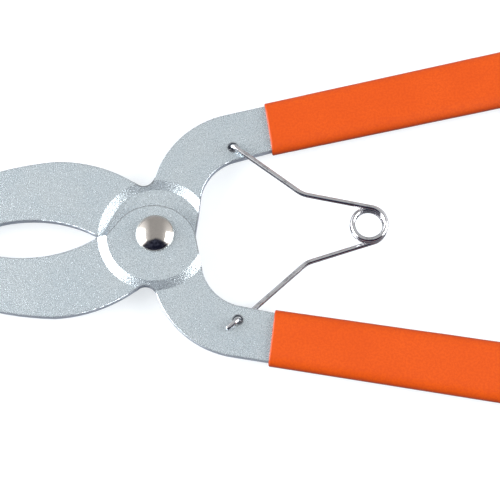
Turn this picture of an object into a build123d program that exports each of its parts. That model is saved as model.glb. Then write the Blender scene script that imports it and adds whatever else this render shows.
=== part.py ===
from build123d import *

import os
from math import acos, atan2, cos, degrees, hypot, pi, radians, sin

# Spreading pliers: two stamped steel levers that do not cross, so squeezing the handles opens the jaws.
# A wire spring between the handles keeps the jaws closed.
# Frame: origin on the pivot axis at the flat rear face of the rivet, +X towards the handles, +Z to the front.

# Stamped levers
PLATE_T = 2.5               # sheet thickness
FACE_GAP = 0.1              # running gap between the two pivot discs
RAMP_IN = 14.7              # radius where the pivot disc ends and the joggle ramp begins
RAMP_OUT = 17.4             # radius where the ramp meets the flat of the lever
BEND_R = 1.2                # radius on the bends of the joggle
EDGE_BREAK = 0.3            # rounding left by the press on the outline of each flat
SEAM_GAP = 0.05             # each lever stops this far short of the centre line
SPRING_HOLE_D = 3.0
NOTCH_R = 3.7               # root radius between the jaw and the handle
BLANK_R = 30.0              # round blank that the joggle is revolved on
DISC_CUT = 18.2             # the rounded flats and the joggled disc are joined at this radius
THROUGH = 40.0              # any cut longer than this goes right through

# Pivot rivet and washer
REAR_HEAD_T = 1.2
REAR_HEAD_D = 10.0
WASHER_T = 0.8
WASHER_D = 13.5
SHANK_D = 7.0
SHANK_FIT = 0.05            # radial running clearance
HEAD_PLAY = 0.05            # end play under the front head
HEAD_D = 11.3
HEAD_RIM = 0.5              # straight part of the front head below its dome
HEAD_RISE = 2.4             # height of the dome above the rim
HEAD_CORNER_R = 0.4
REAR_CHAMFER = 0.3
WASHER_EDGE_R = 0.2

# Heights
BACK_DISC_Z = REAR_HEAD_T + WASHER_T                  # rear face of the back disc
FRONT_DISC_Z = BACK_DISC_Z + PLATE_T + FACE_GAP       # rear face of the front disc
MID_Z = FRONT_DISC_Z - FACE_GAP / 2                   # middle of the sheet away from the pivot
FLAT_BACK = MID_Z - PLATE_T / 2
FLAT_FRONT = MID_Z + PLATE_T / 2

# Handles: both edges of a handle lean away from the centre line, and the handle widens towards its end
OUTER_SLOPE = radians(11.15)
INNER_SLOPE = radians(10.35)
HANDLE_ANGLE = degrees(OUTER_SLOPE + INNER_SLOPE) / 2
TANG_END = 141.0            # distance of the tang's end from the pivot, along the handle
TANG_CORNER_R = 5.0

# Dipped grips
COAT = 1.2                  # coating on each face of the tang
COAT_SIDE = 1.15           # coating on each edge of the tang
COAT_END = 4.5              # coating past the end of the tang
GRIP_STARTS = {1: (40.3, 41.5), -1: (39.3, 39.8)}   # along the handle, at its inner and outer edge
GRIP_EDGE_R = 2.0
GRIP_CORNER_R = 8.5
GRIP_LIP_R = 0.5            # rounding of the coating's front rim

# Wire spring
WIRE_D = 1.5
COIL_CENTRE = (64.7, 1.0)
COIL_R = 5.0                # to the middle of the wire
COIL_PITCH = 1.7
KNEES = {1: (44.9, 10.5), -1: (45.5, -9.3)}
HOLE_X = 24.2
HOLE_Y = 27.3
HOOK_LIFT = 2.15            # wire centre above or below the middle of the sheet, at the hooks
FULL_TURNS = 2              # whole turns, besides the part turn between the two legs
COIL_GAP_TURN = 29.0        # degrees left free between the two halves in the middle of the coil
KNEE_R = 4.0
HOOK_R = 1.3
TAIL = (3.3, 2.8)           # the hook's tail, away from the coil and the centre line

# Ring rests at the jaw tips
REST_T = 1.5
RING_R = 40.0               # outside radius of the ring that the rests are curved for
RING_X = -104.0             # centre of that ring
REST_WIDTH = 6.5            # how far the rest reaches under the ring
LIP_T = 1.4
LIP_RISE = 4.4              # lip height above the rest's rear face
REST_FROM = 14.0            # degrees around the ring, from the centre line
LIP_FROM = 20.0
REST_TO = 38.0
REST_TAB_R = 4.4            # the rest's tab around each rivet
REST_RIVETS = ((-54.5, 12.2), (-61.0, 8.6))
REST_SHANK_D = 3.0
REST_HEAD_D = 5.2
REST_HEAD_RISE = 1.1
REST_TAIL_D = 4.6
REST_TAIL_RISE = 0.7
REST_TAIL_CHAMFER = 0.25

SIDES = {"upper": 1, "lower": -1}

os.makedirs("parts", exist_ok=True)


def edge_line(start, slope, distance):
    """Point that lies the given distance along the handle, on the line from start at this slope."""
    x0, y0 = start
    lean = radians(HANDLE_ANGLE)
    step = (distance - x0 * cos(lean) - y0 * sin(lean)) / cos(slope - lean)
    return (x0 + step * cos(slope), y0 + step * sin(slope))


TANG_OUTER = (22.5, 38.2)   # where the curved root of the handle becomes straight, outer edge
TANG_INNER = (36.0, 25.7)   # the same on the inner edge
TANG_OUTER_END = edge_line(TANG_OUTER, OUTER_SLOPE, TANG_END)
TANG_INNER_END = edge_line(TANG_INNER, INNER_SLOPE, TANG_END)


def lever_plan(side):
    """Outline of a lever: side is 1 for the upper lever and -1 for the lower one."""

    def at(x, y):
        return (x, side * y)

    jaw_root = (-1.1, 12.9)
    jaw_top = (-30.5, 24.65)
    jaw_outer = (-48.0, 22.0)
    tip_outer = (-66.5, 7.6)
    tip_nose = (-67.8, 3.6)
    tip_inner = (-67.8, 0.3)
    tip_heel = (-59.5, 0.3)
    lens_top = (-37.0, 5.85)
    left_notch = (-17.3, SEAM_GAP)
    disc_edge = (-RAMP_IN, SEAM_GAP)
    seam_left = (-10.1, -5.3)
    seam_low = (-0.9, -9.0)
    right_notch = (12.0, -0.2)
    throat_low = (13.8, 10.3)
    throat_top = (24.0, 22.8)
    with BuildSketch() as plan:
        with BuildLine():
            ThreePointArc(at(*jaw_root), at(-17.5, 22.5), at(*jaw_top))
            ThreePointArc(at(*jaw_top), at(-39.5, 23.7), at(*jaw_outer))
            ThreePointArc(at(*jaw_outer), at(-59.5, 16.6), at(*tip_outer))
            Line(at(*tip_outer), at(*tip_nose))
            Line(at(*tip_nose), at(*tip_inner))
            Line(at(*tip_inner), at(*tip_heel))
            ThreePointArc(at(*tip_heel), at(-48.0, 4.9), at(*lens_top))
            ThreePointArc(at(*lens_top), at(-27.5, 4.4), at(*left_notch))
            Line(at(*left_notch), at(*disc_edge))
            Line(at(*disc_edge), at(*seam_left))
            ThreePointArc(at(*seam_left), at(*seam_low), at(*right_notch))
            Line(at(*right_notch), at(*throat_low))
            ThreePointArc(at(*throat_low), at(17.0, 18.1), at(*throat_top))
            Line(at(*throat_top), at(*TANG_INNER))
            Line(at(*TANG_INNER), at(*TANG_INNER_END))
            Line(at(*TANG_INNER_END), at(*TANG_OUTER_END))
            Line(at(*TANG_OUTER_END), at(*TANG_OUTER))
            ThreePointArc(at(*TANG_OUTER), at(7.4, 30.4), at(*jaw_root))
        make_face()
        fillet(plan.vertices().sort_by_distance(at(*jaw_root))[0], radius=NOTCH_R)
        fillet(plan.vertices().sort_by(Axis.X)[-2:], radius=TANG_CORNER_R)
    return plan.sketch


def joggled_disc(side):
    """Middle of a lever: the front disc (side -1) is raised by the joggle, the back disc is lowered."""
    disc_back = BACK_DISC_Z if side > 0 else FRONT_DISC_Z
    disc_front = disc_back + PLATE_T
    bends = [(RAMP_IN, disc_back), (RAMP_OUT, FLAT_BACK), (RAMP_OUT, FLAT_FRONT), (RAMP_IN, disc_front)]
    with BuildPart() as disc:
        with BuildSketch(Plane.XZ) as section:
            with BuildLine():
                Polyline((0, disc_back), *bends[:2], (BLANK_R, FLAT_BACK), (BLANK_R, FLAT_FRONT), *bends[2:],
                         (0, disc_front), close=True)
            make_face()
            for x, z in bends:
                fillet(section.vertices().sort_by_distance((x, 0, z))[0], radius=BEND_R)
        revolve(axis=Axis.Z)
        add(lever_plan(side))
        extrude(amount=THROUGH, mode=Mode.INTERSECT)
        Cylinder(DISC_CUT, THROUGH, mode=Mode.INTERSECT)
    return disc.part


def export(part, name):
    """Label a finished piece and write it."""
    part.label = name
    export_step(part, f"parts/{name}.step")


# Levers: the same stamping, one turned over
levers = {}
for name, side in SIDES.items():
    with BuildPart() as lever:
        with BuildSketch(Plane.XY.offset(FLAT_BACK)):
            add(lever_plan(side))
        extrude(amount=PLATE_T)
        Cylinder(DISC_CUT, THROUGH, mode=Mode.SUBTRACT)
        rims = lever.faces().filter_by(Plane.XY).edges()
        outer_rims = rims.filter_by(lambda rim: hypot(rim.center().X, rim.center().Y) > DISC_CUT + 0.01)
        fillet(outer_rims, radius=EDGE_BREAK)
        add(joggled_disc(side))
        Cylinder(SHANK_D / 2 + SHANK_FIT, THROUGH, mode=Mode.SUBTRACT)
        with Locations((HOLE_X, side * HOLE_Y)):
            Cylinder(SPRING_HOLE_D / 2, THROUGH, mode=Mode.SUBTRACT)
        with Locations(*[(x, side * y) for x, y in REST_RIVETS]):
            Cylinder(REST_SHANK_D / 2, THROUGH, mode=Mode.SUBTRACT)
    levers[name] = lever.part
    export(lever.part, f"{name}_lever")

# Pivot rivet: flat rear head, shank, and a domed front head
head_base = FRONT_DISC_Z + PLATE_T + HEAD_PLAY
with BuildPart() as pivot_rivet:
    with BuildSketch(Plane.XZ):
        with BuildLine():
            Polyline((0, 0), (REAR_HEAD_D / 2, 0), (REAR_HEAD_D / 2, REAR_HEAD_T), (SHANK_D / 2, REAR_HEAD_T),
                     (SHANK_D / 2, head_base), (HEAD_D / 2, head_base), (HEAD_D / 2, head_base + HEAD_RIM))
            dome_r = ((HEAD_D / 2) ** 2 + HEAD_RISE ** 2) / (2 * HEAD_RISE)
            RadiusArc((HEAD_D / 2, head_base + HEAD_RIM), (0, head_base + HEAD_RIM + HEAD_RISE), -dome_r)
            Line((0, head_base + HEAD_RIM + HEAD_RISE), (0, 0))
        make_face()
    revolve(axis=Axis.Z)
    chamfer(pivot_rivet.edges().group_by(Axis.Z)[0], length=REAR_CHAMFER)
    rim_z = head_base + HEAD_RIM
    fillet(pivot_rivet.edges().filter_by_position(Axis.Z, rim_z - 0.01, rim_z + 0.01), radius=HEAD_CORNER_R)
export(pivot_rivet.part, "pivot_rivet")

# Washer under the rear head
with BuildPart() as pivot_washer:
    with BuildSketch(Plane.XY.offset(REAR_HEAD_T)):
        Circle(WASHER_D / 2)
        Circle(SHANK_D / 2, mode=Mode.SUBTRACT)
    extrude(amount=WASHER_T)
    fillet(pivot_washer.edges().filter_by(GeomType.CIRCLE).group_by(SortBy.RADIUS)[-1], radius=WASHER_EDGE_R)
export(pivot_washer.part, "pivot_washer")


def touch_angle(side):
    """Angle, at the coil's centre, where the straight leg from this side's knee touches the coil."""
    dx = KNEES[side][0] - COIL_CENTRE[0]
    dy = KNEES[side][1] - COIL_CENTRE[1]
    return degrees(atan2(dy, dx)) - side * degrees(acos(COIL_R / hypot(dx, dy)))


# Spring: one wire in two halves that turn against each other in the middle of the coil
coil_turn = touch_angle(1) - touch_angle(-1) + 360 * FULL_TURNS
half_turn = (coil_turn - COIL_GAP_TURN) / 2
coil_height = COIL_PITCH * half_turn / 360
for name, side in SIDES.items():
    knee_x, knee_y = KNEES[side]
    coil_x, coil_y = COIL_CENTRE
    touch = touch_angle(side)
    touch_z = MID_Z + side * COIL_PITCH * coil_turn / 360 / 2
    leg_run = (hypot(knee_x - coil_x, knee_y - coil_y) ** 2 - COIL_R ** 2) ** 0.5
    knee_z = touch_z + side * leg_run * COIL_PITCH / (2 * pi * COIL_R)
    hook = (HOLE_X, side * HOLE_Y)
    near_z = MID_Z + side * HOOK_LIFT
    far_z = MID_Z - side * HOOK_LIFT
    with BuildLine() as leg:
        FilletPolyline(
            (hook[0] - TAIL[0], hook[1] + side * TAIL[1], far_z),
            (*hook, far_z),
            (*hook, near_z),
            (knee_x, knee_y, knee_z),
            (coil_x + COIL_R * cos(radians(touch)), coil_y + COIL_R * sin(radians(touch)), touch_z),
            radius=[HOOK_R, HOOK_R, KNEE_R],
        )
    coil_start = touch - half_turn if side > 0 else touch
    coil_base = touch_z - coil_height if side > 0 else touch_z
    coil = Helix(pitch=COIL_PITCH, height=coil_height, radius=COIL_R, mode=Mode.PRIVATE)
    coil = Location((coil_x, coil_y, coil_base), (0, 0, coil_start)) * coil
    path = Wire(leg.edges() + coil.edges())
    with BuildPart() as spring_half:
        with BuildSketch(Plane(origin=path @ 0, z_dir=path % 0)):
            Circle(WIRE_D / 2)
        sweep(path=path)
    export(spring_half.part, f"spring_{name}_half")

# Grips: vinyl coats dipped over the tangs
for name, side in SIDES.items():
    inner_start, outer_start = GRIP_STARTS[side]
    outer = (TANG_OUTER[0] - COAT_SIDE * sin(OUTER_SLOPE), TANG_OUTER[1] + COAT_SIDE * cos(OUTER_SLOPE))
    inner = (TANG_INNER[0] + COAT_SIDE * sin(INNER_SLOPE), TANG_INNER[1] - COAT_SIDE * cos(INNER_SLOPE))
    corners = [edge_line(inner, INNER_SLOPE, inner_start), edge_line(inner, INNER_SLOPE, TANG_END + COAT_END),
               edge_line(outer, OUTER_SLOPE, TANG_END + COAT_END), edge_line(outer, OUTER_SLOPE, outer_start)]
    along = (cos(radians(HANDLE_ANGLE)), side * sin(radians(HANDLE_ANGLE)), 0)
    with BuildPart() as grip:
        with BuildSketch(Plane.XY.offset(FLAT_BACK - COAT)) as plan:
            with BuildLine():
                Polyline(*[(x, side * y) for x, y in corners], close=True)
            make_face()
            fillet(plan.vertices().sort_by(Axis.X)[-2:], radius=GRIP_CORNER_R)
        extrude(amount=PLATE_T + 2 * COAT)
        front = grip.faces().sort_by(Axis((0, 0, 0), along))[0]
        long_edges = grip.faces().filter_by(Plane.XY).edges() - front.edges()
        fillet(long_edges, radius=GRIP_EDGE_R)
        fillet(grip.faces().sort_by(Axis((0, 0, 0), along))[0].edges(), radius=GRIP_LIP_R)
        add(levers[name], mode=Mode.SUBTRACT)
    export(grip.part, f"{name}_grip")


def ring_sector(side, inside, outside, first):
    """Part of an annulus around the ring, from one angle to the end of the rest."""

    def at(radius, angle):
        return (RING_X + radius * cos(radians(angle)), side * radius * sin(radians(angle)))

    middle = (first + REST_TO) / 2
    with BuildSketch() as sector:
        with BuildLine():
            ThreePointArc(at(inside, first), at(inside, middle), at(inside, REST_TO))
            Line(at(inside, REST_TO), at(outside, REST_TO))
            ThreePointArc(at(outside, REST_TO), at(outside, middle), at(outside, first))
            Line(at(outside, first), at(inside, first))
        make_face()
    return sector.sketch


# Ring rests: curved plates riveted behind the jaw tips, with a lip that stands up outside the ring
rest_back = FLAT_BACK - REST_T
for name, side in SIDES.items():
    rivets = [(x, side * y) for x, y in REST_RIVETS]
    with BuildPart() as ring_rest:
        with BuildSketch(Plane.XY.offset(rest_back)):
            with BuildSketch(mode=Mode.PRIVATE) as tab:
                with Locations(*rivets):
                    Circle(REST_TAB_R)
                make_hull()
            add(tab.sketch)
            add(ring_sector(side, RING_R - REST_WIDTH, RING_R + LIP_T, REST_FROM))
        extrude(amount=REST_T)
        with BuildSketch(Plane.XY.offset(rest_back)):
            add(ring_sector(side, RING_R, RING_R + LIP_T, LIP_FROM))
        extrude(amount=LIP_RISE)
        with Locations(*rivets):
            Cylinder(REST_SHANK_D / 2, THROUGH, mode=Mode.SUBTRACT)
    export(ring_rest.part, f"{name}_ring_rest")
    for number, place in enumerate(rivets, start=1):
        with BuildPart() as rest_rivet:
            with BuildSketch(Plane.XY.offset(rest_back - REST_TAIL_RISE)):
                with Locations(place):
                    Circle(REST_TAIL_D / 2)
            extrude(amount=REST_TAIL_RISE)
            chamfer(rest_rivet.edges().group_by(Axis.Z)[0], length=REST_TAIL_CHAMFER)
            with BuildSketch(Plane.XY.offset(rest_back)):
                with Locations(place):
                    Circle(REST_SHANK_D / 2)
            extrude(amount=PLATE_T + REST_T)
            with BuildSketch(Plane.XY.offset(FLAT_FRONT)):
                with Locations(place):
                    Circle(REST_HEAD_D / 2)
            extrude(amount=REST_HEAD_RISE)
            fillet(rest_rivet.edges().group_by(Axis.Z)[-1], radius=0.9 * REST_HEAD_RISE)
        export(rest_rivet.part, f"{name}_rest_rivet_{number}")
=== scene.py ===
from math import acos, atan2, ceil, cos, degrees, hypot, pi, radians, sin, sqrt, tan

import bpy
from mathutils import Matrix, Vector, noise


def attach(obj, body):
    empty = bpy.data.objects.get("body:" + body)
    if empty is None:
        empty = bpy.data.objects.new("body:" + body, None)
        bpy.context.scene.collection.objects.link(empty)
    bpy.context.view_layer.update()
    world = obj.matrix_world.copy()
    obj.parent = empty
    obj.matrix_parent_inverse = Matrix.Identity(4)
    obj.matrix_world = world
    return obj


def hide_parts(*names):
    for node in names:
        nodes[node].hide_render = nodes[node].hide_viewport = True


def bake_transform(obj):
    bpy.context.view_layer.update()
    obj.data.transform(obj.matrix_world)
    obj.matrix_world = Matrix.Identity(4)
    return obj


# Looks of a pair of spreading pliers. Lengths are in millimetres until a mesh is made, and MM turns
# them into metres. The frame is the CAD model's: pivot axis on Z, handles towards +X, front face up.

MM = 0.001

# Middle height of the stamped handles and half the thickness of their sheet, as in the CAD model
MID_Z = 4.55
PLATE_HALF = 1.25

# Tangs of the handles, as in the CAD model
OUTER_SLOPE = radians(11.15)
INNER_SLOPE = radians(10.35)
HANDLE_ANGLE = (OUTER_SLOPE + INNER_SLOPE) / 2
TANG_OUTER = (22.5, 38.2)
TANG_INNER = (36.0, 25.7)
TANG_END = 141.0

# Dipped coats over the tangs
COAT = 1.2
COAT_SIDE = 1.15
COAT_GAP = 0.01
COAT_END = 4.48
GRIP_STARTS = {1: (40.3, 41.5), -1: (39.3, 39.8)}  # on the inner and the outer edge of each handle
GRIP_CORNER = 2.3
GRIP_END_R = 8.5  # seen from the front
GRIP_EDGE_R = 2.0  # seen from the side
GRIP_RIM_R = 0.5
HOLLOW_CORNER = 0.3
HOLLOW_CLEAR = 0.3  # past the tang's end
DENT = 0.07
DENT_RUN = 4.0
CORNER_STRETCH = 2.0
FULLEST = 0.98  # the most of a half side that a corner takes
FLAT_STEPS = 18
CORNER_STEPS = 9
RIM_STEPS = 8

# Wire spring
WIRE_R = 0.75
WIRE_END_R = 0.12
WIRE_SIDES = 18
COIL_CENTRE = (64.7, 1.0)
COIL_R = 5.0
COIL_PITCH = 1.7
FULL_TURNS = 2
COIL_STEP = 6  # degrees
KNEES = {1: (44.9, 10.5), -1: (45.5, -9.3)}
KNEE_R = 7.0
HOLE = (24.2, 27.3)
HOOK_LIFT = 2.9
HOOK_R = 1.3
TAIL = (3.3, 2.8)
TAIL_LIFT = 2.15
BEND_STEP = 9  # degrees

# Pivot rivet
HEAD_D = 11.3
HEAD_BASE = 7.15
HEAD_RIM = 0.5
HEAD_RISE = 2.4
HEAD_CORNER = 0.4
HEAD_EASE = 0.2
SHANK_D = 7.0
REAR_HEAD_D = 10.0
REAR_HEAD_T = 1.2
REAR_CHAMFER = 0.3
REAR_EASE = 0.1
RIVET_SIDES = 128
DOME_STEPS = 26

# Side of the handle's axis that each lever's handle is on, and the body that carries the lever
LEVERS = {"upper": (1, "back_lever"), "lower": (-1, "front_lever")}

# Stage, in metres and degrees
FLOOR_HALF = 3.0
FLOOR_Z = -0.1 * MM
LAMP_DISTANCE = 1.8
LAMP_RADIANCE = 12.7
LAMP_FADE = (0.22, 0.46)  # from a lamp's middle, as shares of its side
CAMERA_PLACE = (0.03122, -0.11547, 0.37510)
CAMERA_TURNS = (("Z", -2.091), ("X", 16.5), ("Y", 1.005))
CAMERA_NEAR = 0.01
SENSOR_WIDTH = 36.0
LENS = 92.26


# ---------------------------------------------------------------- node helpers


def node(tree, kind, inputs=None, **settings):
    """A shader node with its settings, and its inputs given as values or as sockets to link."""
    made = tree.nodes.new(kind)
    for key, value in settings.items():
        setattr(made, key, value)
    for key, value in (inputs or {}).items():
        if isinstance(value, bpy.types.NodeSocket):
            tree.links.new(value, made.inputs[key])
        else:
            made.inputs[key].default_value = value
    return made


def maths(tree, operation, a, b=0.0):
    return node(tree, "ShaderNodeMath", {0: a, 1: b}, operation=operation).outputs[0]


def plus(tree, value, mask, amount):
    """A value raised by the amount where the mask is 1."""
    return maths(tree, "ADD", value, maths(tree, "MULTIPLY", mask, amount))


def span(tree, value, low, high, to_low=0.0, to_high=1.0):
    """Smooth step from one range of values to another."""
    inputs = {"Value": value, "From Min": low, "From Max": high, "To Min": to_low, "To Max": to_high}
    return node(tree, "ShaderNodeMapRange", inputs, interpolation_type="SMOOTHSTEP").outputs[0]


def blend_colours(tree, factor, a, b):
    return node(tree, "ShaderNodeMix", {0: factor, 6: a, 7: b}, data_type="RGBA").outputs[2]


def tint(tree, colour, mask, share, shade):
    """A colour with this share of the shade mixed in where the mask is 1."""
    return blend_colours(tree, maths(tree, "MULTIPLY", mask, share), colour, shade)


def grain(tree, place, size, detail=2.0, rough=0.5, contrast=None):
    """Noise whose features are about size millimetres across."""
    inputs = {"Vector": place, "Scale": 1 / (size * MM), "Detail": detail, "Roughness": rough}
    value = node(tree, "ShaderNodeTexNoise", inputs).outputs["Fac"]
    return span(tree, value, *contrast) if contrast else value


def cells(tree, place, size):
    """Voronoi cells about size millimetres across."""
    return node(tree, "ShaderNodeTexVoronoi", {"Vector": place, "Scale": 1 / (size * MM)})


def bump(tree, height, depth, normal=None):
    """Bump of a height that runs from 0 to 1 over depth millimetres."""
    inputs = {"Height": height, "Distance": depth * MM, "Strength": 1.0}
    if normal is not None:
        inputs["Normal"] = normal
    return node(tree, "ShaderNodeBump", inputs).outputs[0]


def stretched(tree, place, x, y, z):
    return node(tree, "ShaderNodeMapping", {"Vector": place, "Scale": (x, y, z)}).outputs[0]


def new_material(name, **constants):
    """A material with one Principled shader, and the numbers that are the same all over it."""
    material = bpy.data.materials.new(name)
    material.use_nodes = True
    tree = material.node_tree
    shader = tree.nodes["Principled BSDF"]
    for key, value in constants.items():
        shader.inputs[key.replace("_", " ")].default_value = value
    place = tree.nodes.new("ShaderNodeTexCoord").outputs["Object"]
    return material, tree, shader, place


def finish_shader(tree, shader, colour, roughness, normal):
    tree.links.new(colour, shader.inputs["Base Color"])
    tree.links.new(roughness, shader.inputs["Roughness"])
    tree.links.new(normal, shader.inputs["Normal"])


def edge_shade_mask(tree, radius):
    """Mask for painted shade along edges: near 1 within radius millimetres of an outer or inner edge, and 0
    out on the faces.
    """
    plain = node(tree, "ShaderNodeNewGeometry").outputs["Normal"]
    soft = node(tree, "ShaderNodeBevel", {"Radius": radius * MM}, samples=6).outputs[0]
    same = node(tree, "ShaderNodeVectorMath", {0: plain, 1: soft}, operation="DOT_PRODUCT").outputs["Value"]
    return span(tree, same, 0.86, 0.993, 1.0, 0.0)


def on_sides(tree, steep, flat):
    """1 where the surface stands upright and 0 where it lies flat.

    Steep and flat are the heights of the unit normal where the one begins and the other ends.
    """
    normal = node(tree, "ShaderNodeNewGeometry").outputs["Normal"]
    height = node(tree, "ShaderNodeSeparateXYZ", {0: normal}).outputs[2]
    return span(tree, maths(tree, "ABSOLUTE", height), steep, flat, 1.0, 0.0)


# ---------------------------------------------------------------- materials


def plated_steel():
    """Zinc plate over stamped sheet: grey, satin, with a fine grit that sparkles; painted shade on its cut
    faces and a painted dark line along its edges.
    """
    cool, warm = (0.65, 0.745, 0.795, 1), (0.695, 0.775, 0.81, 1)
    glint, pit = (0.8, 0.88, 0.93, 1), (0.40, 0.45, 0.49, 1)
    cut_face_painted_shade, arris_painted_shade = (0.47, 0.52, 0.59, 1), (0.12, 0.115, 0.12, 1)
    material, tree, shader, place = new_material("plated_steel", Metallic=0.77)
    clouds = grain(tree, place, 9.0, 3.0, 0.55, (0.3, 0.7))
    grit = grain(tree, place, 0.34, 2.0, 0.6, (0.28, 0.72))
    fine = grain(tree, place, 0.17, 1.0, 0.5, (0.25, 0.75))
    crystals = cells(tree, place, 0.42).outputs["Color"]
    crystal = node(tree, "ShaderNodeSeparateColor", {0: crystals}).outputs[0]
    side = on_sides(tree, 0.5, 0.93)
    rim = edge_shade_mask(tree, 0.9)
    colour = blend_colours(tree, clouds, cool, warm)
    colour = blend_colours(tree, span(tree, crystal, 0.3, 1.0, 0.0, 0.55), colour, glint)
    colour = blend_colours(tree, span(tree, grit, 0.0, 0.6, 0.75, 0.0), colour, pit)
    # Painted shade: upright cut faces get a darker, bluish colour, chosen by the direction of the surface
    colour = blend_colours(tree, side, colour, cut_face_painted_shade)
    # Painted shade: a dark line along every outer and inner edge, where the bevel normal turns away from the
    # face's normal
    colour = tint(tree, colour, rim, 0.85, arris_painted_shade)
    roughness = span(tree, grit, 0.0, 1.0, 0.22, 0.28)
    roughness = plus(tree, roughness, side, 0.25)
    roughness = plus(tree, roughness, rim, 0.2)
    sheared = grain(tree, stretched(tree, place, 1.0, 1.0, 0.12), 0.25, 2.0, 0.6)
    normal = bump(tree, grit, 0.028)
    normal = bump(tree, fine, 0.004, normal)
    normal = bump(tree, maths(tree, "MULTIPLY", sheared, side), 0.03, normal)
    finish_shader(tree, shader, colour, roughness, normal)
    return material


def polished_nickel():
    """Nickel plate on the rivets: mirror bright, a little wavy, with faint wipe marks."""
    clear, hazy = (0.70, 0.655, 0.60, 1), (0.655, 0.615, 0.57, 1)
    material, tree, shader, place = new_material("polished_nickel", Metallic=1.0)
    waves = grain(tree, place, 2.6, 1.0, 0.4)
    haze = grain(tree, place, 1.1, 3.0, 0.6, (0.35, 0.75))
    wipes = grain(tree, stretched(tree, place, 1.0, 9.0, 1.0), 1.6, 3.0, 0.7, (0.5, 0.8))
    colour = blend_colours(tree, haze, clear, hazy)
    roughness = span(tree, wipes, 0.0, 1.0, 0.13, 0.2)
    normal = bump(tree, waves, 0.05)
    normal = bump(tree, wipes, 0.0008, normal)
    finish_shader(tree, shader, colour, roughness, normal)
    return material


def spring_wire():
    """Bright drawn wire with a few duller patches, and painted shade on its sides."""
    bright, dull, shade = (0.90, 0.90, 0.92, 1), (0.5, 0.5, 0.52, 1), (0.12, 0.12, 0.14, 1)
    material, tree, shader, place = new_material("spring_wire", Metallic=1.0)
    patches = grain(tree, place, 3.2, 3.0, 0.65, (0.48, 0.72))
    drawn = grain(tree, stretched(tree, place, 0.35, 0.35, 1.6), 0.35, 2.0, 0.6, (0.3, 0.7))
    colour = blend_colours(tree, patches, bright, dull)
    # Painted shade on the wire's sides, chosen by the direction of the surface
    colour = tint(tree, colour, on_sides(tree, 0.35, 0.8), 0.75, shade)
    roughness = span(tree, patches, 0.0, 1.0, 0.07, 0.16)
    finish_shader(tree, shader, colour, roughness, bump(tree, drawn, 0.004))
    return material


def dipped_vinyl():
    """Orange vinyl coat: semi-gloss, faint orange peel, a few pinholes and specks, and painted shade on its
    sides.
    """
    orange, pale = (0.515, 0.062, 0.002, 1), (0.545, 0.07, 0.003, 1)
    mottled, spotted = (0.45, 0.046, 0.001, 1), (0.30, 0.05, 0.01, 1)
    shade, deep_shade = (0.27, 0.024, 0.001, 1), (0.10, 0.016, 0.004, 1)
    material, tree, shader, place = new_material(
        "dipped_vinyl", Specular_IOR_Level=0.3, Coat_Weight=0.05, Coat_Roughness=0.22, IOR=1.5
    )
    clouds = grain(tree, place, 14.0, 3.0, 0.55, (0.3, 0.7))
    mottle = grain(tree, place, 0.7, 3.0, 0.7, (0.4, 0.6))
    peel = grain(tree, place, 0.9, 2.0, 0.5)
    fine = grain(tree, place, 0.22, 1.0, 0.5)
    spots = cells(tree, place, 2.6)
    rare = node(tree, "ShaderNodeSeparateColor", {0: spots.outputs["Color"]}).outputs[1]
    near_spot = span(tree, spots.outputs["Distance"], 0.10, 0.03)
    speck = maths(tree, "MULTIPLY", near_spot, span(tree, rare, 0.86, 0.9))
    colour = blend_colours(tree, clouds, orange, pale)
    colour = tint(tree, colour, mottle, 0.6, mottled)
    # Painted shade on the grip's rounded sides, deeper where they stand steeper
    colour = tint(tree, colour, on_sides(tree, 0.45, 0.995), 0.55, shade)
    colour = tint(tree, colour, on_sides(tree, 0.1, 0.45), 0.5, deep_shade)
    colour = tint(tree, colour, speck, 0.75, spotted)
    roughness = span(tree, mottle, 0.0, 1.0, 0.36, 0.46)
    normal = bump(tree, peel, 0.03)
    normal = bump(tree, fine, 0.006, normal)
    normal = bump(tree, maths(tree, "SUBTRACT", 1.0, speck), 0.05, normal)
    finish_shader(tree, shader, colour, roughness, normal)
    return material


def white_floor():
    """Matt white paper, a little lit from below, which throws back less light than the camera sees of it."""
    thrown, seen = (0.2, 0.2, 0.21, 1), (0.34, 0.345, 0.35, 1)
    glow_thrown, glow_seen = (0.16, 0.17, 0.19, 1), (0.93, 0.97, 1.0, 1)
    material, tree, shader, place = new_material(
        "white_floor", Roughness=0.9, Specular_IOR_Level=0.1, Emission_Strength=0.72
    )
    by_camera = node(tree, "ShaderNodeLightPath").outputs["Is Camera Ray"]
    tree.links.new(blend_colours(tree, by_camera, thrown, seen), shader.inputs["Base Color"])
    tree.links.new(blend_colours(tree, by_camera, glow_thrown, glow_seen), shader.inputs["Emission Color"])
    return material


# ---------------------------------------------------------------- mesh helpers


def make_piece(name, vertices, faces, material, body, replaced):
    """A smooth mesh from vertices in millimetres, carried by a CAD body in place of CAD nodes."""
    mesh = bpy.data.meshes.new(name)
    mesh.from_pydata([tuple(c * MM for c in v) for v in vertices], [], faces)
    mesh.validate()
    mesh.materials.append(material)
    mesh.polygons.foreach_set("use_smooth", [True] * len(mesh.polygons))
    piece = bpy.data.objects.new(name, mesh)
    bpy.context.scene.collection.objects.link(piece)
    if body is not None:
        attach(piece, body)
    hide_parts(*replaced)
    return piece


def ring_faces(rings, around):
    """Quads between rings of vertices that follow each other, and a cap on each end."""
    faces = []
    for r in range(rings - 1):
        for k in range(around):
            here, beside = r * around + k, r * around + (k + 1) % around
            faces.append((here, beside, beside + around, here + around))
    faces.append(tuple(reversed(range(around))))
    faces.append(tuple(range((rings - 1) * around, rings * around)))
    return faces


def arc(centre, radius, first, last, steps):
    """Points on an arc between two angles in degrees, as pairs."""
    turns = [radians(first + (last - first) * k / steps) for k in range(steps + 1)]
    return [(centre[0] + radius * cos(t), centre[1] + radius * sin(t)) for t in turns]


# ---------------------------------------------------------------- pivot rivet


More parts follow.
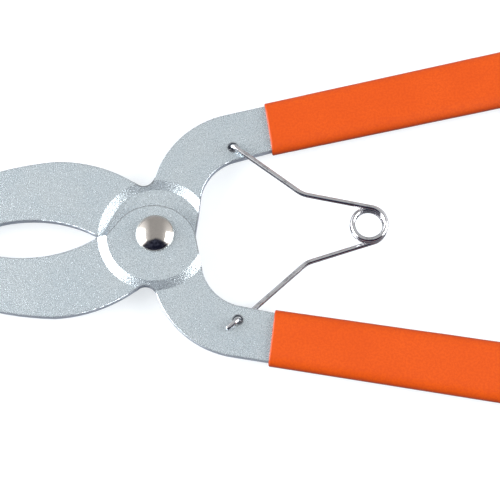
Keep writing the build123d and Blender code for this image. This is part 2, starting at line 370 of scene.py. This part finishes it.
def rivet_profile():
    """Half section of the rivet from near the middle of its rear face almost to the top of its dome.

    Returned with the height of that top.
    """
    rear, shank, head = REAR_HEAD_D / 2, SHANK_D / 2, HEAD_D / 2
    rim_top = HEAD_BASE + HEAD_RIM
    dome_r = (head ** 2 + HEAD_RISE ** 2) / (2 * HEAD_RISE)
    dome_centre = rim_top + HEAD_RISE - dome_r
    edge = degrees(acos(head / dome_r))
    corner = degrees(HEAD_CORNER / dome_r)
    flat = [(r, 0.0) for r in (1.5, 3.0, 4.2)]
    chamfer = [(rear - REAR_CHAMFER, 0.0), (rear - 0.1, 0.08), (rear, REAR_CHAMFER)]
    back = [(rear, REAR_HEAD_T - REAR_EASE), (rear - REAR_EASE, REAR_HEAD_T), (shank, REAR_HEAD_T)]
    under = [(shank, HEAD_BASE), (head - HEAD_EASE, HEAD_BASE)]
    under += [(head - 0.05, HEAD_BASE + 0.07), (head, HEAD_BASE + HEAD_EASE)]
    rim = [(head, rim_top - 0.12), (head - 0.04, rim_top + 0.02)]
    dome = arc((0, dome_centre), dome_r, edge + corner, 90, DOME_STEPS)
    return flat + chamfer + back + under + rim + dome[:-1], rim_top + HEAD_RISE


def pivot_rivet(material):
    profile, top = rivet_profile()
    vertices = []
    for radius, z in profile:
        for k in range(RIVET_SIDES):
            turn = 2 * pi * k / RIVET_SIDES
            vertices.append((radius * cos(turn), radius * sin(turn), z))
    tip = len(vertices)
    last = tip - RIVET_SIDES
    vertices.append((0, 0, top))
    faces = ring_faces(len(profile), RIVET_SIDES)[:-1]
    faces += [(last + k, last + (k + 1) % RIVET_SIDES, tip) for k in range(RIVET_SIDES)]
    make_piece("rivet_polished", vertices, faces, material, "back_lever", ["pivot_rivet"])


# ---------------------------------------------------------------- spring


def touch_angle(side):
    """Angle, at the coil's centre, where the straight leg from this side's knee touches the coil."""
    dx = KNEES[side][0] - COIL_CENTRE[0]
    dy = KNEES[side][1] - COIL_CENTRE[1]
    return degrees(atan2(dy, dx)) - side * degrees(acos(COIL_R / hypot(dx, dy)))


def rounded(points, radii, step=1.2):
    """Centre line through points, its inner corners rounded, with points no more than step apart."""
    line = [points[0]]
    for before, corner, after, radius in zip(points, points[1:], points[2:], radii):
        back, ahead = (before - corner).normalized(), (after - corner).normalized()
        half = back.angle(ahead) / 2
        setback = radius / tan(half)
        centre = corner + (back + ahead).normalized() * (radius / sin(half))
        start, end = corner + back * setback, corner + ahead * setback
        steps = max(4, ceil(degrees(pi - 2 * half) / BEND_STEP))
        first, last = start - centre, end - centre
        turn = first.angle(last)
        for k in range(steps + 1):
            share = k / steps
            line.append(centre + (first * sin((1 - share) * turn) + last * sin(share * turn)) / sin(turn))
    line.append(points[-1])
    filled = [line[0]]
    for point in line[1:]:
        gap = point - filled[-1]
        pieces = max(1, ceil(gap.length / step))
        filled += [filled[-1] + gap * (k / pieces) for k in range(1, pieces)] + [point]
    return filled


def spring_leg(side, coil_turn):
    """Centre line of one leg, from its tail through the lever's hole and the knee to the coil."""
    knee_x, knee_y = KNEES[side]
    coil_x, coil_y = COIL_CENTRE
    touch = radians(touch_angle(side))
    touch_z = MID_Z + side * COIL_PITCH * coil_turn / 360 / 2
    leg_run = sqrt(hypot(knee_x - coil_x, knee_y - coil_y) ** 2 - COIL_R ** 2)
    knee_z = touch_z + side * leg_run * COIL_PITCH / (2 * pi * COIL_R)
    near_z, far_z = MID_Z + side * HOOK_LIFT, MID_Z - side * TAIL_LIFT
    x, y = HOLE[0], side * HOLE[1]
    points = [
        Vector((x - TAIL[0], y + side * TAIL[1], far_z)),
        Vector((x, y, far_z)),
        Vector((x, y, near_z)),
        Vector((knee_x, knee_y, knee_z)),
        Vector((coil_x + COIL_R * cos(touch), coil_y + COIL_R * sin(touch), touch_z)),
    ]
    return rounded(points, [HOOK_R, HOOK_R, KNEE_R])


def spring_line():
    """Centre line of the whole wire: lower leg, coil, upper leg."""
    coil_x, coil_y = COIL_CENTRE
    coil_turn = touch_angle(1) - touch_angle(-1) + 360 * FULL_TURNS
    steps = ceil(coil_turn / COIL_STEP)
    coil = []
    for k in range(1, steps):
        turn = radians(touch_angle(-1) + coil_turn * k / steps)
        z = MID_Z + COIL_PITCH * coil_turn * (k / steps - 0.5) / 360
        coil.append(Vector((coil_x + COIL_R * cos(turn), coil_y + COIL_R * sin(turn), z)))
    return spring_leg(-1, coil_turn) + coil + spring_leg(1, coil_turn)[::-1]


def tube(line, radius, around, ease):
    """Vertices of a round wire along a line, its cut ends slightly rounded, and the number of its rings."""
    tangents = [(b - a).normalized() for a, b in zip([line[0]] + line[:-1], line[1:] + [line[-1]])]
    side = tangents[0].orthogonal().normalized()
    cut_end = [(radius - ease, 0.0), (radius - 0.3 * ease, 0.3 * ease), (radius, ease)]
    vertices, rings = [], 0
    for k, (point, ahead) in enumerate(zip(line, tangents)):
        side = (side - ahead * side.dot(ahead)).normalized()
        other = ahead.cross(side)
        shells = [(radius, 0.0)]
        if k == 0:
            shells = cut_end
        elif k == len(line) - 1:
            shells = [(size, -shift) for size, shift in reversed(cut_end)]
        for size, shift in shells:
            rings += 1
            for n in range(around):
                turn = 2 * pi * n / around
                vertices.append(point + ahead * shift + (side * cos(turn) + other * sin(turn)) * size)
    return vertices, rings


def wire_spring(material):
    vertices, rings = tube(spring_line(), WIRE_R, WIRE_SIDES, WIRE_END_R)
    faces = ring_faces(rings, WIRE_SIDES)
    replaced = ["spring_upper_half", "spring_lower_half"]
    spring = make_piece("wire_spring", vertices, faces, material, None, replaced)
    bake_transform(spring)


# ---------------------------------------------------------------- grips


def edge_line(start, slope, distance):
    """Point that lies the given distance along the handle, on the line from start at this slope."""
    x0, y0 = start
    step = (distance - x0 * cos(HANDLE_ANGLE) - y0 * sin(HANDLE_ANGLE)) / cos(slope - HANDLE_ANGLE)
    return Vector((x0 + step * cos(slope), y0 + step * sin(slope)))


def section(half_width, half_height, corner):
    """Rectangle with oval corners as (across, up) pairs, always with the same number of points."""
    corner = min(corner, FULLEST * half_height)
    reach = min(CORNER_STRETCH * corner, FULLEST * half_width)
    w, h = half_width - reach, half_height - corner
    points = []
    for cx, cz, first in ((w, h, 0), (-w, h, 90), (-w, -h, 180), (w, -h, 270)):
        quarter = arc((0, 0), 1.0, first, first + 90, CORNER_STEPS)
        points += [(cx + reach * a, cz + corner * b) for a, b in quarter]
        if first in (0, 180):
            way = -1 if first == 0 else 1
            run, level = 2 * w * way, cz - way * corner
            points += [(cx + run * k / FLAT_STEPS, level) for k in range(1, FLAT_STEPS)]
    return points


def grip_stations(length):
    """Distances from the front rim to the end, closer together at both ends."""
    front = [0.8, 1.3, 2.2]
    first, last, steps = 3.5, length - 9.5, 70
    middle = [first + (last - first) * k / steps for k in range(steps + 1)]
    end_run, end_steps = 9.0, 26
    turns = [radians(90 * k / end_steps) for k in range(1, end_steps + 1)]
    end = [length - end_run * (1 - sin(turn)) for turn in turns]
    return front + middle + [d for d in end if d > last + 0.3]


def drawn_in(radius, left):
    """How far an end of this radius has rounded inwards, at the distance left from its tip."""
    if left >= radius:
        return 0.0
    return radius - sqrt(max(0.0, radius ** 2 - (radius - left) ** 2))


def dip_depth(place, distance):
    """Unevenness of the coat, which starts from nothing at the front rim."""
    swell = 0.5 + 0.5 * noise.noise(place / 11.0) + 0.2 * noise.noise(place / 3.7)
    return DENT * min(1.0, max(0.0, swell)) * min(1.0, distance / DENT_RUN)


def grip_rings(side):
    """Rings of points from the closed end of the tang's hollow, round the rim and on to the grip's end."""
    inner_start, outer_start = GRIP_STARTS[side]
    end = TANG_END + COAT_END
    length = end - (inner_start + outer_start) / 2
    outer_step = Vector((-sin(OUTER_SLOPE), cos(OUTER_SLOPE))) * COAT_SIDE
    inner_step = Vector((sin(INNER_SLOPE), -cos(INNER_SLOPE))) * COAT_SIDE
    outer, inner = Vector(TANG_OUTER) + outer_step, Vector(TANG_INNER) + inner_step

    def ring(distance, inset, corner, hollow=False):
        share = distance / length
        near = edge_line(inner, INNER_SLOPE, inner_start + (end - inner_start) * share)
        far = edge_line(outer, OUTER_SLOPE, outer_start + (end - outer_start) * share)
        middle, across = (near + far) / 2, (far - near).normalized()
        plan = 0.0 if hollow else drawn_in(GRIP_END_R, length - distance)
        thin = 0.0 if hollow else drawn_in(GRIP_EDGE_R, length - distance)
        half_width = (far - near).length / 2 - inset * COAT_SIDE / COAT - plan
        half_height = PLATE_HALF + COAT - inset - thin
        points = []
        for a, z in section(half_width, half_height, corner):
            spot = middle + across * a
            place = Vector((spot.x, side * spot.y, MID_Z + z))
            if not hollow:
                out = Vector((across.x * a, side * across.y * a, z)).normalized()
                place -= out * dip_depth(place, distance)
            points.append(place)
        return points

    hollow = (TANG_END - inner_start + HOLLOW_CLEAR, 60.0, 20.0, 3.0, 1.0)
    rings = [ring(distance, COAT + COAT_GAP, HOLLOW_CORNER, True) for distance in hollow]
    for k in range(RIM_STEPS + 1):
        turn = radians(180 - 180 * k / RIM_STEPS)
        inset = COAT / 2 * (1 - cos(turn))
        corner = GRIP_CORNER - (GRIP_CORNER - HOLLOW_CORNER) * inset / COAT
        rings.append(ring(GRIP_RIM_R * (1 - sin(turn)), inset, corner))
    rings += [ring(distance, 0.0, GRIP_CORNER) for distance in grip_stations(length)]
    return rings


def dipped_grip(name, side, body, material):
    rings = grip_rings(side)
    vertices = [point for ring in rings for point in ring]
    faces = ring_faces(len(rings), len(rings[0]))
    if side > 0:
        faces = [tuple(reversed(face)) for face in faces]
    make_piece(f"dipped_{name}_grip", vertices, faces, material, body, [f"{name}_grip"])


# ---------------------------------------------------------------- CAD nodes that stay


def dress(nodes, names, material):
    """Gives carried-over CAD nodes their material."""
    for name in names:
        item = nodes[name]
        item.data.materials.clear()
        item.data.materials.append(material)


# ---------------------------------------------------------------- stage


def floor():
    corners = [(x, y, 0) for x, y in ((-1, -1), (1, -1), (1, 1), (-1, 1))]
    mesh = bpy.data.meshes.new("floor")
    mesh.from_pydata([(x * FLOOR_HALF, y * FLOOR_HALF, z) for x, y, z in corners], [], [(0, 1, 2, 3)])
    mesh.materials.append(white_floor())
    sheet = bpy.data.objects.new("floor", mesh)
    sheet.location.z = FLOOR_Z
    bpy.context.scene.collection.objects.link(sheet)


def surroundings():
    """A grey room, bright at both ends and dark on the side where the photographer stands.

    The camera itself sees white where it looks past the floor.
    """
    room, right_end, left_end = (0.44, 0.44, 0.445, 1), (0.95, 0.95, 0.96, 1), (1.55, 1.55, 1.6, 1)
    black, navy = (0.004, 0.005, 0.02, 1), (0.07, 0.08, 0.13, 1)
    white = (1, 1, 1, 1)
    world = bpy.data.worlds.new("room")
    bpy.context.scene.world = world
    world.use_nodes = True
    tree = world.node_tree
    direction = tree.nodes.new("ShaderNodeTexCoord").outputs["Generated"]
    x, y = node(tree, "ShaderNodeSeparateXYZ", {0: direction}).outputs[:2]
    ripple = node(tree, "ShaderNodeTexNoise", {"Vector": direction, "Scale": 5.0, "Detail": 2.0})
    ripple = ripple.outputs["Fac"]
    lean = maths(tree, "SUBTRACT", maths(tree, "MULTIPLY", maths(tree, "ABSOLUTE", x), -0.25), y)
    lean = plus(tree, lean, maths(tree, "SUBTRACT", ripple, 0.5), 0.2)
    colour = blend_colours(tree, span(tree, x, 0.35, 1.0), room, right_end)
    colour = blend_colours(tree, span(tree, x, -0.3, -1.0), colour, left_end)
    person = blend_colours(tree, span(tree, ripple, 0.45, 0.7), black, navy)
    colour = blend_colours(tree, span(tree, lean, 0.2, 0.38), colour, person)
    by_camera = node(tree, "ShaderNodeLightPath").outputs["Is Camera Ray"]
    colour = blend_colours(tree, by_camera, colour, white)
    tree.links.new(colour, tree.nodes["Background"].inputs["Color"])


def softbox(name, azimuth, elevation, width, height):
    """A large soft light that faces the pivot, brightest in its middle."""
    light = bpy.data.lights.new(name, "AREA")
    light.shape = "RECTANGLE"
    light.size, light.size_y = width, height
    light.energy = pi * width * height * LAMP_RADIANCE
    light.use_nodes = True
    tree = light.node_tree
    on_lamp = node(tree, "ShaderNodeNewGeometry").outputs["Parametric"]
    fades = []
    for value in node(tree, "ShaderNodeSeparateXYZ", {0: on_lamp}).outputs[:2]:
        off = maths(tree, "ABSOLUTE", maths(tree, "SUBTRACT", value, 0.5))
        fades.append(span(tree, off, *LAMP_FADE, 1.0, 0.0))
    tree.links.new(maths(tree, "MULTIPLY", *fades), tree.nodes["Emission"].inputs["Strength"])
    lamp = bpy.data.objects.new(name, light)
    bpy.context.scene.collection.objects.link(lamp)
    a, e = radians(azimuth), radians(elevation)
    away = Vector((cos(a) * cos(e), sin(a) * cos(e), sin(e)))
    lamp.location = away * LAMP_DISTANCE
    lamp.rotation_mode = "QUATERNION"
    lamp.rotation_quaternion = away.to_track_quat("Z", "Y")
    lamp.visible_camera = False


def camera():
    """The photograph's view: leaning back from straight above, towards the lower handle."""
    data = bpy.data.cameras.new("camera")
    data.sensor_width = SENSOR_WIDTH
    data.lens = LENS
    data.clip_start = CAMERA_NEAR
    eye = bpy.data.objects.new("camera", data)
    bpy.context.scene.collection.objects.link(eye)
    turn, lean, side = (Matrix.Rotation(radians(angle), 4, axis) for axis, angle in CAMERA_TURNS)
    eye.matrix_world = Matrix.Translation(CAMERA_PLACE) @ turn @ lean @ side
    bpy.context.scene.camera = eye


# ---------------------------------------------------------------- the scene

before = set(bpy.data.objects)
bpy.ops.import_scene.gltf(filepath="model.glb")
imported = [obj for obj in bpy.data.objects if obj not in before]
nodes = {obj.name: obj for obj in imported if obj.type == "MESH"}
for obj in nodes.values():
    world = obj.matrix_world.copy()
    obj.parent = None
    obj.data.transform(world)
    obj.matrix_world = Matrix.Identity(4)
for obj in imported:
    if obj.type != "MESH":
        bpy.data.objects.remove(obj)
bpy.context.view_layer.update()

steel = plated_steel()
nickel = polished_nickel()
vinyl = dipped_vinyl()

dress(nodes, ["upper_lever", "lower_lever", "pivot_washer", "upper_ring_rest", "lower_ring_rest"], steel)
dress(nodes, [f"{name}_rest_rivet_{n}" for name in LEVERS for n in (1, 2)], nickel)
pivot_rivet(nickel)
wire_spring(spring_wire())
for name, (side, body) in LEVERS.items():
    dipped_grip(name, side, body, vinyl)

floor()
surroundings()
softbox("right_softbox", azimuth=-8, elevation=23, width=1.76, height=1.5)
softbox("left_softbox", azimuth=178, elevation=24, width=2.4, height=1.64)
camera()
bpy.context.scene.view_settings.view_transform = "Standard"
